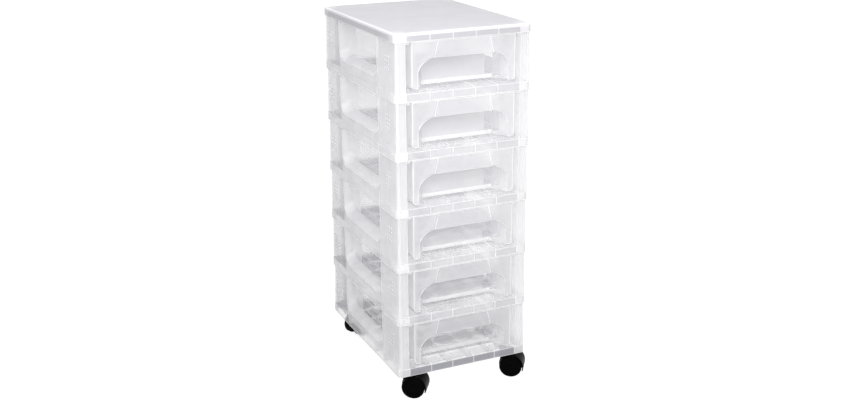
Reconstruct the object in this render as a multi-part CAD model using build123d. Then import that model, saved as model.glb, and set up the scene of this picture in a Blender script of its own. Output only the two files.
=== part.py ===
from build123d import *
import math
import os

# Plastic drawer tower: six stacked frames with a drawer in each, a lid on top
# and four twin-wheel castors below. Millimetres, +Z up, front towards -Y.
# The origin is on the floor, under the middle of the tower.

# ---- driving dimensions: the tower -----------------------------------------
TOWER_WIDTH = 300.0
TOWER_DEPTH = 400.0
TIER_COUNT = 6
TIER_PITCH = 118.0
BAND_HEIGHT = 18.0
CASTOR_HEIGHT = 60.0
CORNER_RADIUS = 8.0
SKIN = 2.0
PLATE = 2.5
RIB = 1.6
HALF_WIDTH = TOWER_WIDTH / 2
HALF_DEPTH = TOWER_DEPTH / 2
PLATE_UNDERSIDE = BAND_HEIGHT - PLATE
OVERSHOOT = 1.0   # how far a cutting shape runs past what it cuts
SINK = 0.5        # how far a joined shape runs into its neighbour

# ---- ribs under the floor plates and round dimples in them ------------------
CELL = 50.0
RIB_X = [-124.8, -75.0, -25.0, 25.0, 75.0, 124.8]
RIB_REAR = 194.5
FRONT_RAIL_Y = -163.0
CROSS_RIB_Y = [FRONT_RAIL_Y] + [-125.0 + CELL * row for row in range(7)]
CLOSING_RIB_X = 107.0
CLOSING_RIB_FRONT = -195.5
CLOSING_RIB_REAR = 190.0
DIMPLE_RADIUS = 22.0
DIMPLE_DEPTH = 1.2
DIMPLE_X = [-100.0 + CELL * column for column in range(5)]
DIMPLE_Y = [-100.0 + CELL * row for row in range(6)]
BAND_EDGE = 0.8
LID_EDGE = 3.0

# ---- corner columns and side recesses --------------------------------------
COLUMN_INNER = 126.0
FRONT_COLUMN_REAR = -109.0
REAR_COLUMN_FRONT = 107.0
COLUMN_FOOT_INSET = 0.4
COLUMN_TOP_INSET = 2.5
COLUMN_RADIUS = 5.0
FRONT_FOOT_INSET = 1.0
SIDE_RIB_Y = [-57.0, 31.0]
SIDE_END_RIB_Y = [-107.5, 105.7]
SIDE_FACE_INSET = 0.2
RECESS_SILL = 35.5
RECESS_INNER_SILL = 47.0
RECESS_RADIUS = 25.0
RECESS_SKIN_TOP = RECESS_INNER_SILL + RECESS_RADIUS + SKIN
FIN_INNER = 109.5
WALL_TOP = TIER_PITCH - 1.0
BACK_OUTER = 197.5
BACK_TUCK = 8.0
BACK_FIELD = (196.0, 74.0, 12.0)
BACK_FIELD_DEPTH = 0.8
PAD = (8.0, 6.0, 4.0)
RUNNER = (4.0, 6.7)
RUNNER_X = 98.0
RUNNER_FRONT_Y = -150.0

# ---- drawers ---------------------------------------------------------------
DRAWER_BOTTOM = BAND_HEIGHT + 7.0
DRAWER_TOP = TIER_PITCH - 1.0
DRAWER_HALF_WIDTH = 107.5
DRAWER_FRONT_HALF_WIDTH = 113.5
DRAWER_FRONT_Y = -199.0
DRAWER_REAR_Y = 190.0
DRAWER_RIM_OUT = 1.0
DRAWER_RIM_HEIGHT = 3.0
FRONT_PANEL = 2.5
FRONT_CORNER_RADIUS = 6.0
SCOOP_DEPTH = 37.0
SCOOP_CEILING = 2.0
LIP_TOP_HALF = 57.0
LIP_BOTTOM_HALF = 65.0
LIP_DROP = 33.0
LIP_RETURN = 6.0
SCOOP_HALF = 100.0
SCOOP_KNEE_DROP = 61.0
SCOOP_BACK = {"top_half": 55.0, "shoulder_half": 60.0, "side_half": 77.0, "knee_drop": 57.0}
SCOOP_BULGE = 0.155   # rise of the arc over its chord, as a share of the chord

# ---- castors ---------------------------------------------------------------
STEM_X = 118.0
STEM_Y = 163.0
TRAIL = 18.0
TRAIL_HEADINGS = {"front_left": -35.0, "front_right": -35.0, "rear_left": 25.0, "rear_right": -20.0}
WHEEL_RADIUS = 25.0
WHEEL_WIDTH = 12.6
WHEEL_INNER = 8.8
WHEEL_EDGE = 2.5
HUB_DISH_RADIUS = 17.0
HUB_DISH_DEPTH = 1.5
HUB_CAP_RADIUS = 6.0
HUB_WALL = 1.5
AXLE_RADIUS = 3.0
AXLE_END_GAP = 0.5
RUNNING_CLEARANCE = 0.05
WEB_HALF = 5.0
WEB_BOTTOM = 17.0
HOOD_INNER = 26.4
HOOD_OUTER = 29.0
HOOD_HALF_WIDTH = 21.6
HOOD_START = -17.0
HOOD_END = 112.0
STEM_RADIUS = 5.0
RING_RADIUS = 5.5
RING_GAP = 2.0
GROOVE_RADIUS = 4.4
GROOVE = (66.0, 70.0)
COLLAR_RADIUS = 8.0
COLLAR_HEIGHT = 2.0
SOCKET_RADIUS = 8.2
SOCKET_BOTTOM = 38.0
SOCKET_TOP = CASTOR_HEIGHT - COLLAR_HEIGHT - 0.4
STEM_BOTTOM = 41.0
STEM_END_GAP = 0.5
STEM_TOP = CASTOR_HEIGHT + 14.0
BOSS_RADIUS = 10.0


def slab(x_range, y_range, z_range):
    """A box given by its limits along X, Y and Z."""
    size = [high - low for low, high in (x_range, y_range, z_range)]
    middle = [(high + low) / 2 for low, high in (x_range, y_range, z_range)]
    return Pos(*middle) * Box(*size)


def rod(x, y, z_range, radius):
    """An upright cylinder given by its axis and its ends."""
    low, high = z_range
    return Pos(x, y, (low + high) / 2) * Cylinder(radius, high - low)


def mirrored(solid):
    """A solid together with its mirror image across the tower's middle."""
    return solid + mirror(solid, Plane.YZ)


def closed_face(points):
    """A flat face through points in space, in order."""
    return Face(Wire(Polyline(*points, close=True)))


# ---- bands: the plate, skirt and ribs shared by the frames and the lid ------

def band_block(edge):
    """Plate and skirt of one band, with a rounded upper edge."""
    outer = extrude(RectangleRounded(TOWER_WIDTH, TOWER_DEPTH, CORNER_RADIUS), BAND_HEIGHT)
    outer = fillet(outer.edges().group_by(Axis.Z)[-1], edge)
    inside = RectangleRounded(TOWER_WIDTH - 2 * SKIN, TOWER_DEPTH - 2 * SKIN, CORNER_RADIUS - SKIN)
    return outer - extrude(inside, PLATE_UNDERSIDE)


def under_ribs():
    """The grid of ribs below a plate, kept clear of the corner columns of the tier below."""
    front = -(HALF_DEPTH - SKIN)
    outermost = RIB_X[-1]
    ribs = [slab((x - RIB / 2, x + RIB / 2), (front, RIB_REAR), (0, PLATE_UNDERSIDE)) for x in RIB_X]
    ribs += [slab((-outermost, outermost), (y - RIB / 2, y + RIB / 2), (0, PLATE_UNDERSIDE))
             for y in CROSS_RIB_Y]
    side_x = (RIB_X[-1], HALF_WIDTH - SKIN / 2)
    for y in SIDE_RIB_Y + SIDE_END_RIB_Y:
        ribs.append(mirrored(slab(side_x, (y - RIB / 2, y + RIB / 2), (0, PLATE_UNDERSIDE))))
    return ribs + closing_ribs()


def closing_ribs():
    """Ribs just above the drawer's rim, which keep its contents from creeping out over the walls."""
    x, rear = CLOSING_RIB_X, CLOSING_RIB_REAR
    along = slab((x - RIB / 2, x + RIB / 2), (CLOSING_RIB_FRONT, rear), (0, PLATE_UNDERSIDE))
    across_rear = slab((-x, x), (rear - RIB / 2, rear + RIB / 2), (0, PLATE_UNDERSIDE))
    return [mirrored(along), across_rear]


def make_lid():
    """The flat top cover."""
    return band_block(LID_EDGE) + under_ribs()


# ---- frames ------------------------------------------------------------------

def floor_dimples():
    """Shallow round fields in the top of a floor plate, one between each four ribs."""
    low = BAND_HEIGHT - DIMPLE_DEPTH
    return [rod(x, y, (low, BAND_HEIGHT + OVERSHOOT), DIMPLE_RADIUS) for x in DIMPLE_X for y in DIMPLE_Y]


def column_section(z, inset_x, inset_y, rear, shrink):
    """Plan of the front left column at one height, drawn in by the skin where shrink is set."""
    grow = SKIN if shrink else 0.0
    left = -HALF_WIDTH + inset_x + grow
    front = -HALF_DEPTH + inset_y + grow
    right = -COLUMN_INNER - grow
    rear = rear - grow
    radius = COLUMN_RADIUS - grow
    diagonal = radius * (1 - math.sqrt(0.5))
    arc = ThreePointArc((left, front + radius, z), (left + diagonal, front + diagonal, z),
                        (left + radius, front, z))
    lines = [Line((left + radius, front, z), (right, front, z)), Line((right, front, z), (right, rear, z)),
             Line((right, rear, z), (left, rear, z)), Line((left, rear, z), (left, front + radius, z))]
    return Face(Wire([arc.edge()] + [line.edge() for line in lines]))


def column_shell(rear):
    """Hollow front left column that ends at rear: its outer faces lean in towards the top."""
    low = BAND_HEIGHT
    high = TIER_PITCH + PLATE_UNDERSIDE
    draft = (COLUMN_TOP_INSET - COLUMN_FOOT_INSET) / (TIER_PITCH - BAND_HEIGHT)
    top_inset = COLUMN_TOP_INSET + draft * PLATE_UNDERSIDE
    sections = [(low, COLUMN_FOOT_INSET, FRONT_FOOT_INSET), (high, top_inset, COLUMN_TOP_INSET)]
    outer = loft([column_section(z, x, y, rear, False) for z, x, y in sections], ruled=True)
    inner = loft([column_section(z, x, y, rear, True) for z, x, y in sections], ruled=True)
    return outer - inner


def recess_section(x, sill, grow):
    """Outline of a side recess at one depth: a U with round lower corners, open at the top."""
    front = FRONT_COLUMN_REAR - grow
    rear = REAR_COLUMN_FRONT + grow
    low = sill - grow
    radius = RECESS_RADIUS + grow
    top = TIER_PITCH + OVERSHOOT
    diagonal = radius * (1 - math.sqrt(0.5))
    front_arc = ThreePointArc((x, front, low + radius), (x, front + diagonal, low + diagonal),
                              (x, front + radius, low))
    rear_arc = ThreePointArc((x, rear - radius, low), (x, rear - diagonal, low + diagonal),
                             (x, rear, low + radius))
    lines = [Line((x, front + radius, low), (x, rear - radius, low)),
             Line((x, rear, low + radius), (x, rear, top)), Line((x, rear, top), (x, front, top)),
             Line((x, front, top), (x, front, low + radius))]
    return Face(Wire([front_arc.edge(), rear_arc.edge()] + [line.edge() for line in lines]))


def recess_volume(grow):
    """The space of the left side recess, whose floor rises inwards; grow adds to it all round."""
    rise = OVERSHOOT * (RECESS_INNER_SILL - RECESS_SILL) / (HALF_WIDTH - COLUMN_INNER)
    outer = recess_section(-HALF_WIDTH - OVERSHOOT, RECESS_SILL - rise, grow)
    inner = recess_section(-COLUMN_INNER + OVERSHOOT, RECESS_INNER_SILL + rise, grow)
    return loft([outer, inner], ruled=True)


def side_box():
    """The lower side wall of a frame: outer skin, recess with its sloping floor, inner skin."""
    face = -HALF_WIDTH + SIDE_FACE_INSET
    y_range = (FRONT_COLUMN_REAR - SKIN, REAR_COLUMN_FRONT + SKIN)
    limits = slab((face, -COLUMN_INNER), y_range, (BAND_HEIGHT, WALL_TOP))
    lining = recess_volume(SKIN) & limits
    skin_z = (BAND_HEIGHT, RECESS_SKIN_TOP)
    outer_skin = slab((face, -HALF_WIDTH + SKIN), y_range, skin_z)
    inner_skin = slab((-COLUMN_INNER - SKIN, -COLUMN_INNER), y_range, skin_z)
    rib_x = (-HALF_WIDTH + SKIN - SINK, -COLUMN_INNER)
    ribs = [slab(rib_x, (y - RIB / 2, y + RIB / 2), (BAND_HEIGHT, RECESS_SILL)) for y in SIDE_RIB_Y]
    return (lining + outer_skin + inner_skin + ribs) - recess_volume(0.0)


def guide_fins():
    """Upright fins at the ends of the recess, which guide the drawer's sides."""
    ends = [(FRONT_COLUMN_REAR - SKIN, FRONT_COLUMN_REAR), (REAR_COLUMN_FRONT, REAR_COLUMN_FRONT + SKIN)]
    x_range = (-COLUMN_INNER - SKIN, -FIN_INNER)
    return [slab(x_range, y_range, (BAND_HEIGHT, WALL_TOP)) for y_range in ends]


def column_pad():
    """A small block on the front column's inner face, just below the band above."""
    wide, deep, tall = PAD
    front = -HALF_DEPTH + COLUMN_TOP_INSET
    x_range = (-COLUMN_INNER - SINK, -COLUMN_INNER + wide)
    return slab(x_range, (front, front + deep), (WALL_TOP - tall, WALL_TOP))


def rear_column():
    """The rear left column: the front one's form, mirrored to the back."""
    return mirror(column_shell(-REAR_COLUMN_FRONT), Plane.XZ)


def runners():
    """Two rails that carry the drawer; they lie on the deck and end in the foot of the back wall."""
    wide, tall = RUNNER
    x_range = (RUNNER_X - wide / 2, RUNNER_X + wide / 2)
    y_range = (RUNNER_FRONT_Y, BACK_OUTER - SKIN + SINK)
    return mirrored(slab(x_range, y_range, (BAND_HEIGHT, BAND_HEIGHT + tall)))


def make_back():
    """The closed back between the rear columns, with a shallow field outside and the runners inside."""
    wide, tall, radius = BACK_FIELD
    wall = slab((-COLUMN_INNER, COLUMN_INNER), (BACK_OUTER - SKIN, BACK_OUTER),
                (BAND_HEIGHT, TIER_PITCH + BACK_TUCK))
    middle = (BAND_HEIGHT + TIER_PITCH) / 2
    field = Plane(origin=(0, BACK_OUTER, middle), z_dir=(0, -1, 0)) * RectangleRounded(wide, tall, radius)
    return wall - extrude(field, BACK_FIELD_DEPTH) + runners()


def make_deck(is_base):
    """The floor of one tier; the base one also has the castor sockets."""
    deck = band_block(BAND_EDGE) + under_ribs() - floor_dimples()
    if not is_base:
        return deck
    bosses = [rod(x, y, (0, PLATE_UNDERSIDE), BOSS_RADIUS) for x, y in stem_places().values()]
    bores = [rod(x, y, (-OVERSHOOT, PLATE_UNDERSIDE), RING_RADIUS) for x, y in stem_places().values()]
    return deck + bosses - bores


def make_left_side():
    """The left wall of one tier: both corner columns, the recess between them, fins and pad."""
    return column_shell(FRONT_COLUMN_REAR) + rear_column() + side_box() + guide_fins() + column_pad()


# ---- drawers -----------------------------------------------------------------

def bell_section(y, top_half, shoulder_half, side_half, knee_drop, grow, top, bottom):
    """The finger scoop's outline at one depth: narrow above, swelling to upright sides below."""
    shoulder_z = DRAWER_TOP - LIP_DROP + grow
    knee_z = DRAWER_TOP - knee_drop + grow
    corners = [(top_half + grow, top), (shoulder_half + grow, shoulder_z), (side_half + grow, knee_z),
               (side_half + grow, bottom)]
    (x1, z1), (x2, z2), (x3, z3), (x4, z4) = corners
    mid_x = (x2 + x3) / 2 + SCOOP_BULGE * (z2 - z3)
    mid_z = (z2 + z3) / 2 + SCOOP_BULGE * (x3 - x2)
    edges = [Line((-x1, y, z1), (x1, y, z1)).edge(), Line((-x4, y, z4), (x4, y, z4)).edge()]
    for side in (-1, 1):
        edges.append(Line((side * x1, y, z1), (side * x2, y, z2)).edge())
        edges.append(ThreePointArc((side * x2, y, z2), (side * mid_x, y, mid_z), (side * x3, y, z3)).edge())
        edges.append(Line((side * x3, y, z3), (side * x4, y, z4)).edge())
    return Face(Wire(edges))


def scoop(grow, depth, top, bottom):
    """The scoop's volume from just ahead of the drawer's front to the given depth."""
    front = bell_section(DRAWER_FRONT_Y, LIP_TOP_HALF, LIP_BOTTOM_HALF, SCOOP_HALF, SCOOP_KNEE_DROP,
                         grow, top, bottom)
    back = bell_section(DRAWER_FRONT_Y + depth, SCOOP_BACK["top_half"], SCOOP_BACK["shoulder_half"],
                        SCOOP_BACK["side_half"], SCOOP_BACK["knee_drop"], grow, top, bottom)
    return loft([front, back], ruled=True)


def drawer_front():
    """The flat front panel with rounded lower corners."""
    height = DRAWER_TOP - DRAWER_BOTTOM
    outline = Plane.XZ * Pos(0, DRAWER_BOTTOM + height / 2) * Rectangle(2 * DRAWER_FRONT_HALF_WIDTH, height)
    panel = Pos(0, DRAWER_FRONT_Y + FRONT_PANEL, 0) * extrude(outline, FRONT_PANEL)
    lower_corners = panel.edges().filter_by(Axis.Y).group_by(Axis.Z)[0]
    return fillet(lower_corners, FRONT_CORNER_RADIUS)


def handle_lip():
    """The plate that hangs from the rim over the top of the scoop, with a return for the fingers."""
    low = DRAWER_TOP - LIP_DROP
    corners = [(-LIP_TOP_HALF, DRAWER_TOP), (LIP_TOP_HALF, DRAWER_TOP), (LIP_BOTTOM_HALF, low),
               (-LIP_BOTTOM_HALF, low)]
    face = closed_face([(x, DRAWER_FRONT_Y, z) for x, z in corners])
    plate = extrude(face, FRONT_PANEL, dir=(0, 1, 0))
    edge_half = LIP_BOTTOM_HALF - SINK
    edge_y = (DRAWER_FRONT_Y, DRAWER_FRONT_Y + LIP_RETURN)
    return plate + slab((-edge_half, edge_half), edge_y, (low, low + SKIN))


def make_drawer():
    """One drawer: an open tray with a rim, a flat front and a finger scoop under the handle lip."""
    half = DRAWER_HALF_WIDTH
    y_range = (DRAWER_FRONT_Y, DRAWER_REAR_Y)
    z_range = (DRAWER_BOTTOM, DRAWER_TOP)
    tray = slab((-half, half), y_range, z_range)
    upright = tray.edges().filter_by(Axis.Z).group_by(Axis.Y)[-1]
    tray = fillet(upright, FRONT_CORNER_RADIUS)
    rim_half = half + DRAWER_RIM_OUT
    rim = slab((-rim_half, rim_half), (DRAWER_FRONT_Y, DRAWER_REAR_Y + DRAWER_RIM_OUT),
               (DRAWER_TOP - DRAWER_RIM_HEIGHT, DRAWER_TOP))
    inside = slab((-half + SKIN, half - SKIN), (DRAWER_FRONT_Y + FRONT_PANEL, DRAWER_REAR_Y - SKIN),
                  (DRAWER_BOTTOM + SKIN, DRAWER_TOP + OVERSHOOT))
    inside = fillet(inside.edges().filter_by(Axis.Z).group_by(Axis.Y)[-1], FRONT_CORNER_RADIUS - SKIN)
    drawer = tray + rim - inside
    drawer += scoop(SKIN, SCOOP_DEPTH + SKIN, DRAWER_TOP, DRAWER_BOTTOM)
    drawer += drawer_front()
    drawer -= scoop(0.0, SCOOP_DEPTH, DRAWER_TOP - SCOOP_CEILING, DRAWER_BOTTOM - OVERSHOOT)
    return drawer + handle_lip()


# ---- castors: drawn with the stem on the Z axis and the wheels trailing to +X ----

def across(x, z, y_range, radius):
    """A cylinder along Y."""
    low, high = y_range
    return Pos(x, (low + high) / 2, z) * Rot(90, 0, 0) * Cylinder(radius, high - low)


def make_wheel(side):
    """One wheel, with rounded rims and a dished outer face; side is -1 or 1 along the axle."""
    inner = side * WHEEL_INNER
    outer = side * (WHEEL_INNER + WHEEL_WIDTH)
    disc = across(TRAIL, WHEEL_RADIUS, sorted((inner, outer)), WHEEL_RADIUS)
    disc = fillet(disc.edges().filter_by(GeomType.CIRCLE), WHEEL_EDGE)
    dish_floor = outer - side * HUB_DISH_DEPTH
    past_face = outer + side * OVERSHOOT
    dish = across(TRAIL, WHEEL_RADIUS, sorted((dish_floor, past_face)), HUB_DISH_RADIUS)
    dish -= across(TRAIL, WHEEL_RADIUS, sorted((dish_floor, past_face)), HUB_CAP_RADIUS)
    bore_end = dish_floor - side * HUB_WALL
    bore = across(TRAIL, WHEEL_RADIUS, sorted((inner - side * OVERSHOOT, bore_end)),
                  AXLE_RADIUS + RUNNING_CLEARANCE)
    return disc - dish - bore


def make_axle():
    """The steel pin that both wheels turn on."""
    half_length = WHEEL_INNER + WHEEL_WIDTH - HUB_DISH_DEPTH - HUB_WALL - AXLE_END_GAP
    return across(TRAIL, WHEEL_RADIUS, (-half_length, half_length), AXLE_RADIUS)


def make_hood():
    """Hood over the wheels, with the web that holds the axle and the socket for the stem."""
    half = HOOD_HALF_WIDTH
    past = half + OVERSHOOT
    arch = across(TRAIL, WHEEL_RADIUS, (-half, half), HOOD_OUTER)
    arch -= across(TRAIL, WHEEL_RADIUS, (-past, past), HOOD_INNER)
    reach = 3 * HOOD_OUTER
    directions = [math.radians(a) for a in (HOOD_START, (HOOD_START + HOOD_END) / 2, HOOD_END)]
    sector = [(TRAIL, -past, WHEEL_RADIUS)]
    sector += [(TRAIL + reach * math.cos(a), -past, WHEEL_RADIUS + reach * math.sin(a)) for a in directions]
    arch = arch & extrude(closed_face(sector), 2 * past, dir=(0, 1, 0))
    web = across(TRAIL, WHEEL_RADIUS, (-WEB_HALF, WEB_HALF), HOOD_INNER + SINK)
    web = web & slab((-HOOD_OUTER, TRAIL + HOOD_OUTER), (-WEB_HALF, WEB_HALF), (WEB_BOTTOM, SOCKET_TOP))
    boss = rod(0, 0, (SOCKET_BOTTOM, SOCKET_TOP), SOCKET_RADIUS)
    bore_radius = STEM_RADIUS + RUNNING_CLEARANCE
    bore = rod(0, 0, (STEM_BOTTOM - STEM_END_GAP, SOCKET_TOP + OVERSHOOT), bore_radius)
    pin_hole = across(TRAIL, WHEEL_RADIUS, (-WEB_HALF - OVERSHOOT, WEB_HALF + OVERSHOOT), AXLE_RADIUS)
    return arch + web + boss - bore - pin_hole


def make_stem():
    """Steel stem with a collar below the base and a groove for its grip ring."""
    stem = rod(0, 0, (STEM_BOTTOM, STEM_TOP), STEM_RADIUS)
    stem += rod(0, 0, (CASTOR_HEIGHT - COLLAR_HEIGHT, CASTOR_HEIGHT), COLLAR_RADIUS)
    return stem - (rod(0, 0, GROOVE, RING_RADIUS) - rod(0, 0, GROOVE, GROOVE_RADIUS))


def make_grip_ring():
    """Split spring ring that holds the stem in its socket in the base."""
    ring = rod(0, 0, GROOVE, RING_RADIUS) - rod(0, 0, GROOVE, GROOVE_RADIUS)
    half_gap = RING_GAP / 2
    return ring - slab((0, RING_RADIUS + OVERSHOOT), (-half_gap, half_gap), GROOVE)


def stem_places():
    """Where the four castor stems stand."""
    return {"front_left": (-STEM_X, -STEM_Y), "front_right": (STEM_X, -STEM_Y),
            "rear_left": (-STEM_X, STEM_Y), "rear_right": (STEM_X, STEM_Y)}


def castor_pieces():
    """Every castor's pieces, turned to its own heading and set on its stem's place."""
    patterns = {"stem": make_stem(), "grip_ring": make_grip_ring(), "hood": make_hood(),
                "axle": make_axle(), "wheel_near": make_wheel(-1), "wheel_far": make_wheel(1)}
    pieces = {}
    for corner, (x, y) in stem_places().items():
        place = Pos(x, y, 0) * Rot(0, 0, TRAIL_HEADINGS[corner])
        for name, solid in patterns.items():
            pieces[f"castor_{corner}_{name}"] = place * solid
    return pieces


# ---- the whole tower -----------------------------------------------------------

def tower_pieces():
    """All pieces by name, at their places in the tower."""
    base_deck = make_deck(is_base=True)
    upper_deck = make_deck(is_base=False)
    left_side = make_left_side()
    tier_pieces = {"left_side": left_side, "right_side": mirror(left_side, Plane.YZ), "back": make_back()}
    drawer = make_drawer()
    pieces = {"lid": Pos(0, 0, CASTOR_HEIGHT + TIER_COUNT * TIER_PITCH) * make_lid()}
    for tier in range(TIER_COUNT):
        lift = Pos(0, 0, CASTOR_HEIGHT + tier * TIER_PITCH)
        pieces[f"frame_{tier + 1}_deck"] = lift * (base_deck if tier == 0 else upper_deck)
        for name, solid in tier_pieces.items():
            pieces[f"frame_{tier + 1}_{name}"] = lift * solid
        pieces[f"drawer_{tier + 1}"] = lift * drawer
    pieces.update(castor_pieces())
    return pieces


os.makedirs("parts", exist_ok=True)
for piece_name, piece in tower_pieces().items():
    export_step(piece, f"parts/{piece_name}.step")
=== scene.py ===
"""A tower of six see-through plastic drawers on four black castors, dressed for its portrait.

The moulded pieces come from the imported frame. This script gives each one its finish, adds the
raised dots on the side walls, and sets the floor, the lamps and the camera. Metres, +Z up,
front towards -Y. Patterns are written in millimetres.
"""

import logging
import math
from dataclasses import dataclass, field
from enum import Enum
from typing import Any, Union

import bpy
from mathutils import Matrix, Vector


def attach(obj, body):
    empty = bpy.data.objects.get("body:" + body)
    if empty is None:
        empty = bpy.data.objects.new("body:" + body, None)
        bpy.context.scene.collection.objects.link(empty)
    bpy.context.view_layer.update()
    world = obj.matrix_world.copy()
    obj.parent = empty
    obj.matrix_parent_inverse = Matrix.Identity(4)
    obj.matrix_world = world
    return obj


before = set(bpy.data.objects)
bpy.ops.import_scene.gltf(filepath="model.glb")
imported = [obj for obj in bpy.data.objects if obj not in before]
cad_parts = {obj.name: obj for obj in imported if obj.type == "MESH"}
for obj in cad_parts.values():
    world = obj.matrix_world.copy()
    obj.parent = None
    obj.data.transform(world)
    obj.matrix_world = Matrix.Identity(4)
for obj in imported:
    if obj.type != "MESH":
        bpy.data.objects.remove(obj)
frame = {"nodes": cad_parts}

log = logging.getLogger("drawer_tower")

MM = 0.001
TIERS = 6
PITCH = 118.0
FLOOR_TO_BAND = 60.0
BAND = 18.0
HALF_DEPTH = 200.0
CELL = 50.0            # from rib to rib under a floor plate
SHADED_BELOW = 300.0   # round this height the painted shade of the lower tiers sets in
WALL_AT_FOOT = 149.6   # half width of the side walls just above a band
WALL_LEAN = 0.021      # how far they lean in for each millimetre of height
FINE = 0.4             # blur of a sharp edge
SOFT = 0.7             # blur of a moulded edge
Colour = tuple[float, float, float]
Spot = tuple[float, float, float]
Number = Union[int, float, "Value"]


class Corner(Enum):
    """The four places where a castor stands."""

    FRONT_LEFT = "front_left"
    FRONT_RIGHT = "front_right"
    REAR_LEFT = "rear_left"
    REAR_RIGHT = "rear_right"


class Wall(Enum):
    """The two side walls, as the sign of their X."""

    LEFT = -1
    RIGHT = 1


# ---- shader expressions --------------------------------------------------------


class Value:
    """A number that changes over a surface, written with Python's own operators."""

    def __init__(self, graph: "Graph", socket: bpy.types.NodeSocket) -> None:
        """Wraps one output socket.

        Args:
            graph: The material's graph.
            socket: The output that carries the number.
        """
        self.graph = graph
        self.socket = socket

    def _math(self, operation: str, *operands: Number) -> "Value":
        """Adds a Math node.

        Args:
            operation: Blender's name for the operation.
            operands: The node's inputs, in order.

        Returns:
            The node's result.
        """
        return self.graph.math(operation, *operands)

    def __add__(self, other: Number) -> "Value":
        """Sum."""
        return self._math("ADD", self, other)

    __radd__ = __add__

    def __sub__(self, other: Number) -> "Value":
        """Difference."""
        return self._math("SUBTRACT", self, other)

    def __rsub__(self, other: Number) -> "Value":
        """Difference from a plain number."""
        return self._math("SUBTRACT", other, self)

    def __mul__(self, other: Number) -> "Value":
        """Product."""
        return self._math("MULTIPLY", self, other)

    __rmul__ = __mul__

    def __abs__(self) -> "Value":
        """Size without sign."""
        return self._math("ABSOLUTE", self)

    def __mod__(self, other: Number) -> "Value":
        """Remainder that is never negative."""
        return self._math("FLOORED_MODULO", self, other)

    def least(self, other: Number) -> "Value":
        """The smaller of two numbers."""
        return self._math("MINIMUM", self, other)

    def most(self, other: Number) -> "Value":
        """The larger of two numbers."""
        return self._math("MAXIMUM", self, other)

    def above(self, edge: float, blur: float) -> "Value":
        """A mask that is 1 well above an edge and 0 well below it.

        Args:
            edge: Where the mask is a half.
            blur: The width over which it changes.

        Returns:
            The mask.
        """
        return ((self - edge) * (1.0 / blur) + 0.5).most(0.0).least(1.0)

    def below(self, edge: float, blur: float) -> "Value":
        """The opposite of above, with the same arguments."""
        return 1.0 - self.above(edge, blur)

    def within(self, low: float, high: float, blur: float) -> "Value":
        """A mask that is 1 between two edges.

        Args:
            low: The lower edge.
            high: The upper edge.
            blur: The width over which it changes.

        Returns:
            The mask.
        """
        return self.above(low, blur) * self.below(high, blur)

    def near(self, middle: float, reach: float, blur: float) -> "Value":
        """A mask that is 1 close to a line.

        Args:
            middle: Where the line is.
            reach: How far the mask reaches to each side.
            blur: The width over which it changes.

        Returns:
            The mask.
        """
        return abs(self - middle).below(reach, blur)

    def past(self, edge: Number) -> "Value":
        """How far a number lies beyond an edge, and 0 before it."""
        return (self - edge).most(0.0)


@dataclass
class Place:
    """Where a point of a surface is, in millimetres, and where the surface faces."""

    x: Value
    y: Value
    z: Value
    nx: Value
    ny: Value
    nz: Value

    def height(self) -> Value:
        """Height above the foot of the point's own tier."""
        return (self.z - FLOOR_TO_BAND) % PITCH

    def lowdown(self) -> Value:
        """A slow change from 1 in the lowest tier to 0 in the fourth; it mostly sets how deep the painted
        shade of the lower tiers is.
        """
        return self.z.below(SHADED_BELOW, SHADED_BELOW)

    @staticmethod
    def outward(facing: Value) -> Value:
        """A mask of the faces that look along an axis, either way, from their facing along it."""
        return abs(facing).above(0.7, 0.1)

    def upward(self) -> Value:
        """A mask of the faces that look up."""
        return self.nz.above(0.5, 0.1)

    def above_band(self) -> Value:
        """A mask of what stands above a band."""
        return self.height().above(BAND, FINE)


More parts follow.
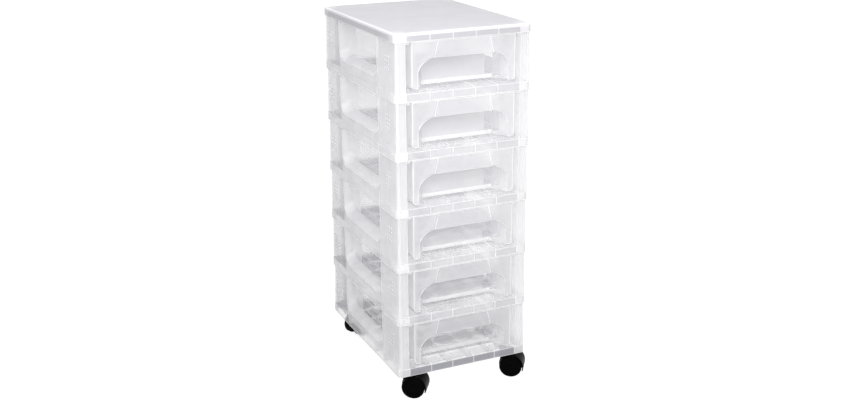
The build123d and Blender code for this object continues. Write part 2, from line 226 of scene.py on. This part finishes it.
class Graph:
    """One material and the nodes in it."""

    def __init__(self, name: str) -> None:
        """Makes an empty material.

        Args:
            name: The material's name.
        """
        self.material = bpy.data.materials.new(name)
        self.material.use_nodes = True
        self.tree = self.material.node_tree
        self.tree.nodes.clear()

    def node(self, kind: str, settings: dict[str, Any] | None = None,
             inputs: dict[Any, Any] | None = None) -> bpy.types.Node:
        """Adds a node.

        Args:
            kind: The node's type.
            settings: Its properties, set first.
            inputs: Values, sockets or Values for its inputs, by name or number.

        Returns:
            The node.
        """
        node = self.tree.nodes.new(kind)
        for name, setting in (settings or {}).items():
            setattr(node, name, setting)
        for name, given in (inputs or {}).items():
            self.feed(node.inputs[name], given)
        return node

    def feed(self, socket: bpy.types.NodeSocket, given: Any) -> None:
        """Links an output to an input, or sets the input's own value.

        Args:
            socket: The input.
            given: A Value, an output socket, a number or a colour.
        """
        if isinstance(given, Value):
            given = given.socket
        if isinstance(given, bpy.types.NodeSocket):
            self.tree.links.new(given, socket)
        elif isinstance(given, tuple) and socket.type == "RGBA":
            socket.default_value = (*given, 1.0)
        else:
            socket.default_value = given

    def math(self, operation: str, *operands: Number) -> Value:
        """Adds a Math node and returns its result.

        Args:
            operation: Blender's name for the operation.
            operands: The node's inputs, in order.

        Returns:
            The node's result.
        """
        node = self.node("ShaderNodeMath", {"operation": operation}, dict(enumerate(operands)))
        return Value(self, node.outputs[0])

    def root(self, value: Value) -> Value:
        """Square root."""
        return self.math("SQRT", value)

    def place(self) -> Place:
        """Reads the point's place and facing in the object's own coordinates."""
        source = self.node("ShaderNodeTexCoord")
        at = self.node("ShaderNodeSeparateXYZ", inputs={0: source.outputs["Object"]})
        facing = self.node("ShaderNodeSeparateXYZ", inputs={0: source.outputs["Normal"]})
        spots = [Value(self, at.outputs[i]) * (1.0 / MM) for i in range(3)]
        return Place(*spots, *[Value(self, facing.outputs[i]) for i in range(3)])

    def noise(self, scale: float, detail: float = 3.0, stretch: Colour = (1.0, 1.0, 1.0)) -> Value:
        """Smooth noise between 0 and 1.

        Args:
            scale: Waves per metre.
            detail: Octaves.
            stretch: Extra scale along each axis.

        Returns:
            The noise.
        """
        source = self.node("ShaderNodeTexCoord")
        mapped = self.node("ShaderNodeMapping",
                           inputs={"Vector": source.outputs["Object"], "Scale": stretch})
        noise = self.node("ShaderNodeTexNoise", {}, {"Vector": mapped.outputs[0], "Scale": scale,
                                                     "Detail": detail, "Roughness": 0.55})
        return Value(self, noise.outputs["Fac"])

    def blend(self, share: Number, first: Any, second: Any) -> bpy.types.NodeSocket:
        """Mixes two colours.

        Args:
            share: How much of the second.
            first: A colour or an output.
            second: A colour or an output.

        Returns:
            The mixed colour.
        """
        node = self.node("ShaderNodeMix", {"data_type": "RGBA"}, {0: share, 6: first, 7: second})
        return node.outputs[2]

    def bump(self, height: Value, depth_mm: float, strength: float) -> bpy.types.NodeSocket:
        """A normal that follows a height.

        Args:
            height: The height, from 0 to 1.
            depth_mm: What a height of 1 stands for.
            strength: How much of it shows.

        Returns:
            The normal.
        """
        node = self.node("ShaderNodeBump", {}, {
            "Height": height, "Distance": depth_mm * MM, "Strength": strength})
        return node.outputs["Normal"]

    def mix_shaders(self, share: Number, first: bpy.types.NodeSocket,
                    second: bpy.types.NodeSocket) -> bpy.types.NodeSocket:
        """Mixes two shaders.

        Args:
            share: How much of the second.
            first: The first shader's output.
            second: The second shader's output.

        Returns:
            The mixed shader.
        """
        return self.node("ShaderNodeMixShader", {}, {0: share, 1: first, 2: second}).outputs[0]

    def finish(self, surface: bpy.types.NodeSocket) -> bpy.types.Material:
        """Ends the graph with its surface.

        Args:
            surface: The shader's output.

        Returns:
            The material.
        """
        self.node("ShaderNodeOutputMaterial", {}, {"Surface": surface})
        return self.material


# ---- finishes --------------------------------------------------------------------


class Moulding(Enum):
    """The three kinds of see-through moulding, each with its own bright lines."""

    FRAME = "frame"
    DRAWER = "drawer"
    LID = "lid"


@dataclass(frozen=True)
class Pattern:
    """How a moulding differs over its surface."""

    lines: Value          # bright moulded edges: thicker, whiter plastic and painted highlight where they catch the light
    painted_shade: Number = 0.0    # painted shade
    thick: Number = 0.0   # what is added to the plastic's cover


@dataclass(frozen=True)
class BandShape:
    """A band's skirt, ribs and corners, as half widths and places."""

    front: float = -HALF_DEPTH + 2.5
    cells: float = 124.0
    ribs: float = 130.0
    corner: tuple[float, float] = (126.0, 172.0)


@dataclass(frozen=True)
class FloorShape:
    """A floor plate, its round fields and the ribs under it."""

    field_radius: float = 22.0
    field_half_width: float = 123.0
    field_length: tuple[float, float] = (-123.0, 173.0)
    field_height: tuple[float, float] = (16.2, 17.4)
    rib_half_width: float = 127.0
    rib_length: tuple[float, float] = (-127.0, 177.0)
    top: tuple[float, float] = (16.2, 18.3)
    rail: float = -163.0


@dataclass(frozen=True)
class SideShape:
    """A frame's side walls and front columns."""

    wall: float = 146.5
    recess_middle: float = -1.0
    recess_half: float = 83.0
    recess_foot: float = 60.5
    recess_corner: float = 25.0
    seam: float = -109.0
    rear_panel: float = 106.0
    back: float = 186.0
    front: float = -196.0
    column_edge: float = 126.6
    column_bend: float = 141.0
    column: float = 125.0
    column_inside: tuple[float, float] = (106.0, 125.5)
    column_depth: float = -150.0


@dataclass(frozen=True)
class DrawerShape:
    """A drawer's front, handle lip, finger scoop and pocket."""

    front: float = -196.3
    half_width: float = 112.0
    foot: float = 26.6
    brim: float = 115.6
    top: float = 116.4
    lip_half_width: float = 57.0
    lip_top: float = 117.0
    lip_slant: float = 8.0 / 33.0
    lip_foot: float = 84.4
    bell_shoulder: tuple[float, float] = (65.0, 56.0)
    bell_reach: tuple[float, float] = (35.0, 27.0)
    scoop_side: float = -100.4
    pocket: tuple[float, float] = (-196.0, -155.0)
    pocket_width: tuple[float, float] = (-106.0, 64.0)
    step: tuple[float, float] = (-163.5, -158.5)
    ledge: float = -160.0
    flank: tuple[float, float] = (104.0, -150.0)


@dataclass(frozen=True)
class LidShape:
    """The lid's rounded rim."""

    corner_middle: tuple[float, float] = (129.0, 179.0)
    flat_radius: float = 17.2


@dataclass(frozen=True)
class MilkyPlastic:
    """See-through polypropylene: milky in its walls, near white along moulded edges, partly from thicker
    plastic and partly as painted highlight, and darkened in places by painted shade.

    Milk is how much of the light a plain surface stops, and edge_milk how much a moulded edge stops.
    """

    name: str
    moulding: Moulding
    body: Colour = (0.94, 0.936, 0.952)
    edge: Colour = (0.97, 0.97, 0.97)
    # the colour that painted shade darkens the plastic towards
    shade: Colour = (0.34, 0.34, 0.385)
    milk: float = 0.34
    edge_milk: float = 0.8
    glow: float = 0.5
    gloss_roughness: float = 0.28
    band: BandShape = BandShape()
    floor: FloorShape = FloorShape()
    side: SideShape = SideShape()
    drawer: DrawerShape = DrawerShape()
    lid: LidShape = LidShape()

    def build(self) -> bpy.types.Material:
        """Makes the material."""
        graph = Graph(self.name)
        place = graph.place()
        pattern = self._pattern(graph, place)
        cloud = graph.noise(14.0, 3.0)
        flow = graph.noise(70.0, 2.0, (1.0, 1.0, 0.25))
        paler = tuple(min(0.97, c * 1.04) for c in self.body)
        # painted shade darkens the plain colour towards the shade colour; the bright lines, partly painted
        # highlight, go over it
        plain = graph.blend(pattern.painted_shade, graph.blend(cloud, self.body, paler), self.shade)
        colour = graph.blend(pattern.lines, plain, self.edge)
        rough = (flow * 0.16 + (self.gloss_roughness - 0.08)).most(0.05)
        grain = graph.bump(graph.noise(900.0, 2.0), 0.05, 0.12)
        skin = graph.node("ShaderNodeBsdfPrincipled", {}, {
            "Base Color": colour, "Roughness": rough, "Normal": grain,
            "IOR": 1.49, "Specular IOR Level": 0.35})
        through = graph.node("ShaderNodeBsdfTranslucent", {}, {"Color": colour, "Normal": grain})
        milky = graph.mix_shaders(self.glow, skin.outputs[0], through.outputs[0])
        clear = graph.node("ShaderNodeBsdfTransparent")
        haze = (cloud - 0.5) * 0.10 + self.milk + pattern.thick
        cover = haze + (self.edge_milk - haze).most(0.0) * pattern.lines
        return graph.finish(graph.mix_shaders(cover.most(0.0).least(1.0), clear.outputs[0], milky))

    def _pattern(self, graph: Graph, place: Place) -> Pattern:
        """The pattern of this kind of moulding."""
        makers = {Moulding.FRAME: self._frame_pattern, Moulding.DRAWER: self._drawer_pattern,
                  Moulding.LID: self._lid_pattern}
        return makers[self.moulding](graph, place)

    def _cells(self, place: Place) -> Value:
        """The cells between the ribs of a band's front."""
        cells = place.height().within(1.0, BAND - 1.5, 1.0) * place.outward(place.ny)
        return cells * abs(place.x).below(self.band.cells, 2.0) * place.y.below(self.band.front + 0.5, 0.5)

    def _fields(self, place: Place) -> Value:
        """The round fields in the floor plates, one to each cell of ribs."""
        floor = self.floor
        across = (place.x + CELL / 2.0) % CELL - CELL / 2.0
        along = (place.y + CELL / 2.0) % CELL - CELL / 2.0
        disc = (across * across + along * along).below(floor.field_radius ** 2, 70.0)
        inside = abs(place.x).below(floor.field_half_width, 1.0) * place.y.within(*floor.field_length, 1.0)
        return disc * inside * place.upward() * place.height().within(*floor.field_height, 0.3)

    def _band_lines(self, place: Place) -> Value:
        """Edges, rib ends and solid corners of a band."""
        band = self.band
        height = place.height()
        upright = abs(place.nz).below(0.5, 0.1)
        front = place.y.below(band.front, 0.5) * place.outward(place.ny)
        in_band = height.below(BAND, FINE)
        foot = height.below(1.5, SOFT) * upright
        brim = height.within(BAND - 1.9, BAND + 0.2, SOFT) * upright * (front * 0.75 + 0.25)
        rib = (place.x % CELL).near(CELL / 2.0, 1.0, 0.6)
        ends = rib * abs(place.x).below(band.ribs, 1.0) * front * in_band
        corner = abs(place.x).above(band.corner[0], 3.0) * abs(place.y).above(band.corner[1], 20.0) * in_band
        return foot.most(brim).most(ends).most(corner * 0.6)

    def _floor_lines(self, place: Place) -> Value:
        """The ribs under a floor plate, which show through it."""
        floor = self.floor
        top = place.upward() * place.height().within(*floor.top, 0.3)
        lengthways = (place.x % CELL).near(CELL / 2.0, 1.0, 0.6)
        lengthways = lengthways * abs(place.x).below(floor.rib_half_width, 1.0)
        crossways = (place.y % CELL).near(CELL / 2.0, 1.0, 0.6) * place.y.within(*floor.rib_length, 1.0)
        rail = place.y.near(floor.rail, 1.0, 0.6)
        return lengthways.most(crossways * 0.6).most(rail) * top

    def _wall_lines(self, graph: Graph, place: Place, wall: Value) -> Value:
        """The outline of a recess and the seam beside it."""
        side = self.side
        across = abs(place.y - side.recess_middle).past(side.recess_half)
        down = (side.recess_foot - place.height()).most(0.0)
        outline = graph.root(across * across + down * down).near(side.recess_corner, 1.3, SOFT)
        recess = outline * place.above_band() * wall
        return recess.most(place.y.near(side.seam, 0.9, 0.6) * wall * 0.7)

    def _column_lines(self, place: Place) -> Value:
        """The paler front columns, their edges, and painted light on their inner faces, which lifts the
        shade in the gap beside the drawer.
        """
        side = self.side
        front = place.outward(place.ny) * place.y.below(side.front, 0.5)
        edge = abs(place.x).near(side.column_edge, 1.0, 0.6) * front
        bend = abs(place.x).above(side.column_bend, 1.0) * front * place.above_band()
        left = place.x.below(-side.column, 1.0) * front
        # painted light on the columns' inner faces, where the gap beside the drawer lies in shade
        inner = abs(place.x).within(*side.column_inside, 1.0) * place.y.below(side.column_depth, 3.0)
        return edge.most(left * 0.2).most(bend * 0.6).most(inner * place.above_band() * 0.5)

    def _frame_pattern(self, graph: Graph, place: Place) -> Pattern:
        """A frame's band, walls, columns and floor."""
        side = self.side
        wall = place.outward(place.nx) * abs(place.x).above(side.wall, 0.5)
        lines = self._band_lines(place).most(self._wall_lines(graph, place, wall))
        lines = lines.most(self._column_lines(place)).most(self._floor_lines(place) * 0.8)
        low = place.lowdown()
        cells = self._cells(place)
        base = place.z.below(FLOOR_TO_BAND + BAND, 1.0)
        fields = self._fields(place) * (low * 0.6 + 0.4)
        rear = wall * place.y.above(side.rear_panel, 4.0) * place.above_band()
        # painted shade: the band cells, darkest in the lowest band where the shade under the tower shows
        # through, the floor dimples and the rear side panels, both deeper on the lower tiers
        painted_shade = (cells * (base * 0.5 + 0.22)).most(fields * 0.8).most(rear * (low * 0.4 + 0.42))
        back = place.y.above(side.back, 2.0) * 0.14
        plate = place.outward(place.nz) * abs(place.x).below(side.column + 1.0, 1.0) * 0.08
        return Pattern(lines, painted_shade, cells * (base * 0.4 + 0.1) + fields * 0.5 - back - plate)

    def _front_lines(self, graph: Graph, place: Place, front: Value) -> Value:
        """The front's rim, the lip's edges, the bell's outline as a painted highlight, weaker on the right,
        and the scoop's left side.
        """
        shape = self.drawer
        height = place.height()
        across = abs(place.x)
        rim = across.above(shape.half_width, SOFT)
        rim = rim.most(height.below(shape.foot, SOFT)).most(height.above(shape.brim, SOFT))
        lean = (shape.lip_top - height) * shape.lip_slant
        slant = (across - shape.lip_half_width - lean).near(0.0, 1.1, SOFT) * height.above(83.0, 0.6)
        lip = height.near(shape.lip_foot, 0.8, 0.5) * across.below(66.0, 1.0)
        far = across.past(shape.bell_shoulder[0]) * (1.0 / shape.bell_reach[0])
        high = height.past(shape.bell_shoulder[1]) * (1.0 / shape.bell_reach[1])
        # the bell's outline is a painted highlight where the edge catches the light, kept weak on the right
        # side, which faces away
        bell = graph.root(far * far + high * high).near(0.985, 0.035, 0.025) * height.within(54.0, 86.0, 0.6)
        bell = bell * across.above(64.0, 1.0) * (1.0 - place.x.above(84.0, 6.0) * 0.7)
        left = place.x.near(shape.scoop_side, 1.0, SOFT) * height.below(56.5, 0.6)
        # the edges on the right of the scoop, which face away from the light, keep little of the bright line
        hidden = place.x.within(62.0, 106.0, 3.0) * height.within(20.0, 84.0, 2.0)
        edges = abs(place.ny).below(0.5, 0.1) * (1.0 - hidden * 0.9)
        return rim.most(slant).most(lip * 0.6).most(bell).most(left).most(edges) * front

    def _drawer_pattern(self, graph: Graph, place: Place) -> Pattern:
        """A drawer's front, with the ledge, step and flanks behind it, and its pocket."""
        shape = self.drawer
        height, across = place.height(), abs(place.x)
        front = place.y.below(shape.front, 0.5)
        top = height.above(shape.top, FINE) * 0.7
        step = place.y.within(*shape.step, 0.5) * height.below(33.0, 1.5) * across.below(96.0, 2.0) * 0.85
        ledge = place.upward() * place.y.below(shape.ledge, 1.0) * height.below(30.0, 1.0) * 0.4
        flank = across.above(shape.flank[0], 1.0) * place.y.below(shape.flank[1], 3.0) * (1.0 - front) * 0.5
        lines = self._front_lines(graph, place, front).most(top).most(step).most(ledge).most(flank)
        pocket = place.y.within(*shape.pocket, 2.0) * place.x.within(*shape.pocket_width, 4.0)
        low = place.lowdown()
        # painted shade on the drawer's front, deeper on the lower tiers
        return Pattern(lines, front * (low * 0.12 + 0.1), front * 0.24 + pocket * (0.24 - low * 0.15))

    def _lid_pattern(self, graph: Graph, place: Place) -> Pattern:
        """The lid's rounded rim and its band."""
        lid = self.lid
        across = abs(place.x).past(lid.corner_middle[0])
        along = abs(place.y).past(lid.corner_middle[1])
        rim = graph.root(across * across + along * along).above(lid.flat_radius, 1.4)
        rim = rim * place.nz.above(0.2, 0.2)
        brow = place.height().within(BAND - 6.0, BAND + 0.2, 1.0) * abs(place.nz).below(0.7, 0.2) * 0.8
        # a little painted shade in the band's cells
        return Pattern(self._band_lines(place).most(rim).most(brow), painted_shade=self._cells(place) * 0.08)


@dataclass(frozen=True)
class BlackPlastic:
    """Black nylon, glossy on the hoods and duller on the treads."""

    name: str
    colour: Colour = (0.0007, 0.0007, 0.0009)
    roughness: float = 0.3
    tread: bool = False

    def build(self) -> bpy.types.Material:
        """Makes the material."""
        graph = Graph(self.name)
        wear = graph.noise(140.0, 4.0)
        colour = graph.blend(wear, self.colour, tuple(c * 1.9 for c in self.colour))
        rough = wear * 0.18 + (self.roughness - 0.06)
        normal = graph.bump(graph.noise(1500.0, 2.0), 0.04, 0.5 if self.tread else 0.25)
        skin = graph.node("ShaderNodeBsdfPrincipled", {}, {
            "Base Color": colour, "Roughness": rough, "Normal": normal,
            "IOR": 1.5, "Specular IOR Level": 0.02})
        return graph.finish(skin.outputs[0])


@dataclass(frozen=True)
class PlatedSteel:
    """Zinc-plated steel of the castors' stems, rings and axles."""

    name: str
    colour: Colour = (0.60, 0.60, 0.62)

    def build(self) -> bpy.types.Material:
        """Makes the material."""
        graph = Graph(self.name)
        spangle = graph.noise(420.0, 3.0)
        turned = graph.noise(900.0, 2.0, (0.2, 0.2, 3.0))
        colour = graph.blend(spangle, self.colour, tuple(min(1.0, c * 1.25) for c in self.colour))
        skin = graph.node("ShaderNodeBsdfPrincipled", {}, {
            "Base Color": colour, "Metallic": 1.0, "Roughness": spangle * 0.2 + 0.22,
            "Normal": graph.bump(turned, 0.05, 0.4)})
        return graph.finish(skin.outputs[0])


@dataclass(frozen=True)
class StudioPaint:
    """The pale floor: nearly white to the eye, and it keeps the object's shadow."""

    name: str
    colour: Colour = (0.34, 0.34, 0.34)
    lift: float = 0.86

    def build(self) -> bpy.types.Material:
        """Makes the material."""
        graph = Graph(self.name)
        ray = graph.node("ShaderNodeLightPath")
        seen = Value(graph, ray.outputs["Is Camera Ray"])
        shiny = Value(graph, ray.outputs["Is Glossy Ray"])
        paint = graph.node("ShaderNodeBsdfDiffuse", {}, {"Color": self.colour})
        dark = graph.node("ShaderNodeEmission", {}, {"Color": (0.0, 0.0, 0.0), "Strength": 0.0})
        light = graph.node("ShaderNodeEmission", {}, {"Color": (1.0, 1.0, 1.0), "Strength": self.lift})
        extra = graph.mix_shaders(seen.most(shiny), dark.outputs[0], light.outputs[0])
        both = graph.node("ShaderNodeAddShader", {}, {0: paint.outputs[0], 1: extra})
        return graph.finish(both.outputs[0])


@dataclass
class FinishSet:
    """Every finish of the tower, built once."""

    frame: bpy.types.Material = field(init=False)
    dots: bpy.types.Material = field(init=False)
    drawer: bpy.types.Material = field(init=False)
    lid: bpy.types.Material = field(init=False)
    hood: bpy.types.Material = field(init=False)
    wheel: bpy.types.Material = field(init=False)
    steel: bpy.types.Material = field(init=False)

    def __post_init__(self) -> None:
        """Builds the materials."""
        self.frame = MilkyPlastic("frame_milky", Moulding.FRAME).build()
        self.dots = MilkyPlastic(
            "dots_milky", Moulding.DRAWER, body=(0.95, 0.95, 0.96), milk=0.6).build()
        self.drawer = MilkyPlastic(
            "drawer_milky", Moulding.DRAWER, body=(0.95, 0.95, 0.97), milk=0.15).build()
        self.lid = MilkyPlastic(
            "lid_frosted", Moulding.LID, body=(0.735, 0.73, 0.75), edge=(1.0, 0.995, 1.0),
            milk=0.85, gloss_roughness=0.5).build()
        self.hood = BlackPlastic("castor_gloss_black").build()
        self.wheel = BlackPlastic("castor_wheel_black", roughness=0.38, tread=True).build()
        self.steel = PlatedSteel("castor_plated_steel").build()


def dress(node: str, material: bpy.types.Material) -> None:
    """Gives a CAD node its finish.

    Args:
        node: The node's name.
        material: The finish.
    """
    piece = frame["nodes"][node]
    if not piece.material_slots:
        piece.data.materials.append(material)
    for slot in piece.material_slots:
        slot.material = material


# ---- sub-assemblies ----------------------------------------------------------------


@dataclass
class DotGrid:
    """A patch of low round dots on a side wall, three across and four up."""

    radius: float = 2.0
    rise: float = 0.45
    sunk: float = 0.15
    columns: int = 3
    rows: int = 4
    step: tuple[float, float] = (9.0, 8.5)
    lowest: float = 62.0
    middles: dict[str, float] = field(default_factory=lambda: {"front": -157.0, "rear": 163.0})

    def build(self, tier: int, wall: Wall, end: str, finish: bpy.types.Material) -> bpy.types.Object:
        """Makes one patch, as one piece that belongs to the tower.

        Args:
            tier: The tier's number, from 1.
            wall: Which side wall.
            end: "front" or "rear".
            finish: The dots' finish.

        Returns:
            The patch.
        """
        bpy.ops.object.select_all(action="DESELECT")
        spots = [self._spot(tier, wall, end, column, row)
                 for column in range(self.columns) for row in range(self.rows)]
        self._dot(wall, (0.0, 0.0, 0.0))
        patch = bpy.context.object
        patch.name = f"tier_{tier}_dots_{wall.name.lower()}_{end}"
        bpy.ops.object.mode_set(mode="EDIT")
        bpy.ops.mesh.select_all(action="SELECT")
        bpy.ops.transform.translate(value=spots[0])
        for spot in spots[1:]:
            self._dot(wall, spot)
        bpy.ops.mesh.select_all(action="SELECT")
        bpy.ops.mesh.normals_make_consistent(inside=False)
        bpy.ops.object.mode_set(mode="OBJECT")
        patch.data.materials.append(finish)
        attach(patch, "tower")
        return patch

    def _dot(self, wall: Wall, spot: Spot) -> None:
        """Adds one dot: a flat-topped cone, ten-sided, pointing out of the wall."""
        bpy.ops.mesh.primitive_cone_add(
            vertices=10, radius1=self.radius * MM, radius2=self.radius * 0.55 * MM,
            depth=(self.rise + self.sunk) * MM, location=spot,
            rotation=(0.0, wall.value * math.pi / 2.0, 0.0))

    def _spot(self, tier: int, wall: Wall, end: str, column: int, row: int) -> Spot:
        """The middle of one dot, in metres."""
        y = self.middles[end] + (column - (self.columns - 1) / 2.0) * self.step[0]
        height = self.lowest + row * self.step[1]
        face = WALL_AT_FOOT - WALL_LEAN * (height - BAND)
        x = wall.value * (face + (self.rise - self.sunk) / 2.0)
        z = FLOOR_TO_BAND + (tier - 1) * PITCH + height
        return (x * MM, y * MM, z * MM)


@dataclass
class Tier:
    """One frame with its drawer and the raised dots on its side walls."""

    number: int
    dots: DotGrid = field(default_factory=DotGrid)

    def build(self, finishes: FinishSet) -> None:
        """Dresses the mouldings and adds the dots.

        Args:
            finishes: The tower's finishes.
        """
        frame_nodes = [n for n in frame["nodes"] if n.startswith(f"frame_{self.number}_")]
        for node in frame_nodes:
            dress(node, finishes.frame)
        dress(f"drawer_{self.number}", finishes.drawer)
        for wall in Wall:
            for end in self.dots.middles:
                self.dots.build(self.number, wall, end, finishes.dots)
        log.info("tier %d: %d frame mouldings, drawer, four patches of dots", self.number, len(frame_nodes))


@dataclass
class Castor:
    """One twin-wheel castor."""

    corner: Corner

    def build(self, finishes: FinishSet) -> None:
        """Dresses the castor's pieces.

        Args:
            finishes: The tower's finishes.
        """
        name = f"castor_{self.corner.value}"
        for part in ("stem", "grip_ring", "axle"):
            dress(f"{name}_{part}", finishes.steel)
        dress(f"{name}_hood", finishes.hood)
        for part in ("wheel_near", "wheel_far"):
            dress(f"{name}_{part}", finishes.wheel)
        log.info("castor %s dressed", self.corner.value)


# ---- studio ----------------------------------------------------------------------


@dataclass(frozen=True)
class Lamp:
    """One soft square lamp, in metres and watts."""

    name: str
    place: Spot
    size: float
    power: float
    target: Spot = (0.0, 0.0, 0.6)

    def build(self) -> None:
        """Hangs the lamp and points it at its target."""
        light = bpy.data.lights.new(f"studio_{self.name}", "AREA")
        light.size = self.size
        light.energy = self.power
        lamp = bpy.data.objects.new(light.name, light)
        bpy.context.scene.collection.objects.link(lamp)
        lamp.location = self.place
        aim = Vector(self.target) - Vector(self.place)
        lamp.rotation_euler = aim.to_track_quat("-Z", "Y").to_euler()


@dataclass
class Studio:
    """Floor, world, lamps and camera."""

    lamps: tuple[Lamp, ...] = (
        Lamp("key", (-0.7, -1.3, 1.3), size=1.0, power=28.0, target=(0.0, 0.0, 0.55)),
        Lamp("fill", (2.0, -1.6, 2.0), size=1.6, power=10.0),
        Lamp("top", (0.2, 0.5, 2.8), size=1.6, power=30.0),
    )
    eye: Spot = (-0.9602, -2.1320, 1.1466)
    azimuth: float = -24.409
    elevation: float = 18.531
    roll: float = -0.384
    focal_pixels: float = 1108.7
    picture_width: float = 854.0
    sensor: float = 36.0
    floor_size: float = 60.0
    ambient: float = 0.66

    def build(self) -> None:
        """Builds the studio round the tower."""
        self._floor()
        self._world()
        for lamp in self.lamps:
            lamp.build()
        self._camera()
        scene = bpy.context.scene
        scene.view_settings.view_transform = "Standard"
        scene.cycles.transparent_max_bounces = 64
        scene.cycles.max_bounces = 16
        scene.cycles.transmission_bounces = 16
        scene.cycles.diffuse_bounces = 8
        log.info("studio built")

    def _floor(self) -> None:
        """A wide pale floor at the castors' feet."""
        bpy.ops.object.select_all(action="DESELECT")
        bpy.ops.mesh.primitive_plane_add(size=self.floor_size, location=(0.0, 0.0, 0.0))
        floor = bpy.context.object
        floor.name = "studio_floor"
        floor.data.materials.append(StudioPaint("studio_floor_paint").build())

    def _world(self) -> None:
        """Even light all round, and plain white to the eye."""
        world = bpy.data.worlds.new("studio_world")
        bpy.context.scene.world = world
        world.use_nodes = True
        tree = world.node_tree
        tree.nodes.clear()
        ray = tree.nodes.new("ShaderNodeLightPath")
        out = tree.nodes.new("ShaderNodeOutputWorld")
        even = tree.nodes.new("ShaderNodeBackground")
        even.inputs["Color"].default_value = (0.98, 0.98, 1.0, 1.0)
        even.inputs["Strength"].default_value = self.ambient
        white = tree.nodes.new("ShaderNodeBackground")
        white.inputs["Color"].default_value = (1.0, 1.0, 1.0, 1.0)
        mix = tree.nodes.new("ShaderNodeMixShader")
        either = tree.nodes.new("ShaderNodeMath")
        either.operation = "MAXIMUM"
        tree.links.new(ray.outputs["Is Camera Ray"], either.inputs[0])
        tree.links.new(ray.outputs["Is Glossy Ray"], either.inputs[1])
        tree.links.new(either.outputs[0], mix.inputs[0])
        tree.links.new(even.outputs[0], mix.inputs[1])
        tree.links.new(white.outputs[0], mix.inputs[2])
        tree.links.new(mix.outputs[0], out.inputs["Surface"])

    def _camera(self) -> None:
        """The camera at the portrait's own viewing angle."""
        data = bpy.data.cameras.new("portrait_camera")
        data.sensor_width = self.sensor
        data.lens = self.focal_pixels / self.picture_width * self.sensor
        data.clip_end = 200.0
        camera = bpy.data.objects.new("portrait_camera", data)
        bpy.context.scene.collection.objects.link(camera)
        turn = math.radians(self.azimuth)
        tilt = math.radians(self.elevation)
        back = Vector((math.sin(turn) * math.cos(tilt), -math.cos(turn) * math.cos(tilt), math.sin(tilt)))
        facing = (-back).to_track_quat("-Z", "Y").to_matrix().to_4x4()
        roll = Matrix.Rotation(math.radians(self.roll), 4, "Z")
        camera.matrix_world = Matrix.Translation(Vector(self.eye)) @ facing @ roll
        bpy.context.scene.camera = camera


def main() -> None:
    """Builds the tower's looks in order."""
    logging.basicConfig(level=logging.INFO, format="%(message)s")
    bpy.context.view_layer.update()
    finishes = FinishSet()
    dress("lid", finishes.lid)
    for number in range(1, TIERS + 1):
        Tier(number).build(finishes)
    for corner in Corner:
        Castor(corner).build(finishes)
    Studio().build()


if __name__ == "__main__":
    main()
